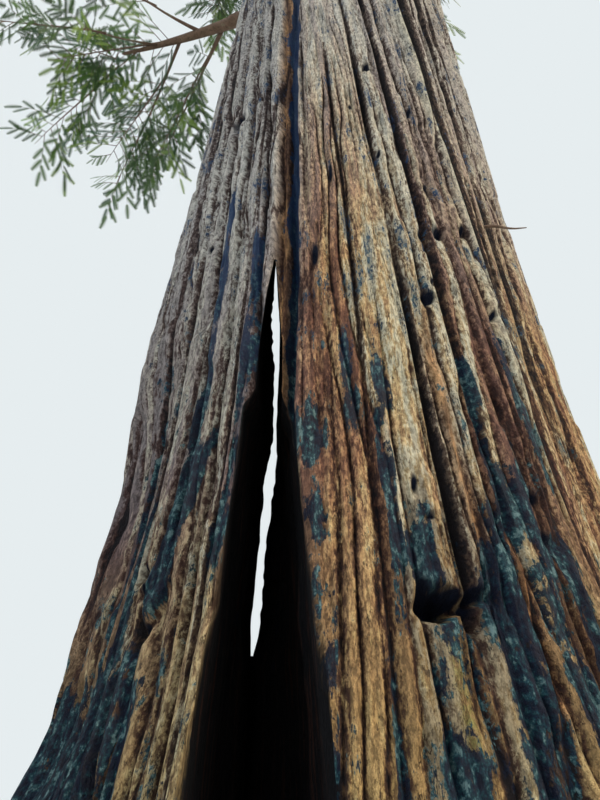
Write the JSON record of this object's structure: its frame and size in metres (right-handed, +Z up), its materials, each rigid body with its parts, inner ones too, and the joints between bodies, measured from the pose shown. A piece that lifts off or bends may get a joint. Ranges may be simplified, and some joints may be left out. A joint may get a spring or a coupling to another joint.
{
  "type": "redwood tree",
  "caption": "Tall old redwood with a fluted, flaring trunk, a burnt hollow and cleft in its front, short boughs and a narrow crown of needle sprays.",
  "frame": {"origin": "middle of the flat cut under the trunk, at ground level", "axes": "+Z up along the trunk, -Y towards the side with the burnt hollow, +X to the right of somebody who faces the hollow"},
  "size_m": [10.0852, 9.6376, 40],
  "materials": {
    "bark": "rough, fibrous",
    "foliage": "matte"
  },
  "bodies": {
    "root": {"trunk": "bark", "bough_01": "bark", "bough_02": "bark", "bough_03": "bark", "bough_04": "bark", "bough_05": "bark", "bough_06": "bark", "bough_07": "bark", "bough_08": "bark", "bough_09": "bark", "bough_10": "bark", "bough_11": "bark", "bough_12": "bark", "bough_13": "bark", "bough_14": "bark", "bough_15": "bark", "bough_16": "bark", "bough_17": "bark", "bough_18": "bark", "bough_19": "bark", "bough_20": "bark", "bough_low": "bark", "foliage_01": "foliage", "foliage_02": "foliage", "foliage_03": "foliage", "foliage_04": "foliage", "foliage_05": "foliage", "foliage_06": "foliage", "foliage_07": "foliage", "foliage_08": "foliage", "foliage_09": "foliage", "foliage_10": "foliage", "foliage_11": "foliage", "foliage_12": "foliage", "foliage_13": "foliage", "foliage_14": "foliage", "foliage_15": "foliage", "foliage_16": "foliage", "foliage_17": "foliage", "foliage_18": "foliage", "foliage_19": "foliage", "foliage_20": "foliage", "foliage_21": "foliage", "foliage_22": "foliage", "foliage_23": "foliage", "foliage_24": "foliage", "foliage_25": "foliage", "foliage_26": "foliage", "foliage_27": "foliage", "foliage_28": "foliage", "foliage_29": "foliage", "foliage_30": "foliage", "foliage_31": "foliage", "foliage_32": "foliage", "foliage_33": "foliage", "foliage_34": "foliage", "foliage_35": "foliage", "foliage_low": "foliage", "foliage_top": "foliage"}
  },
  "joints": []
}
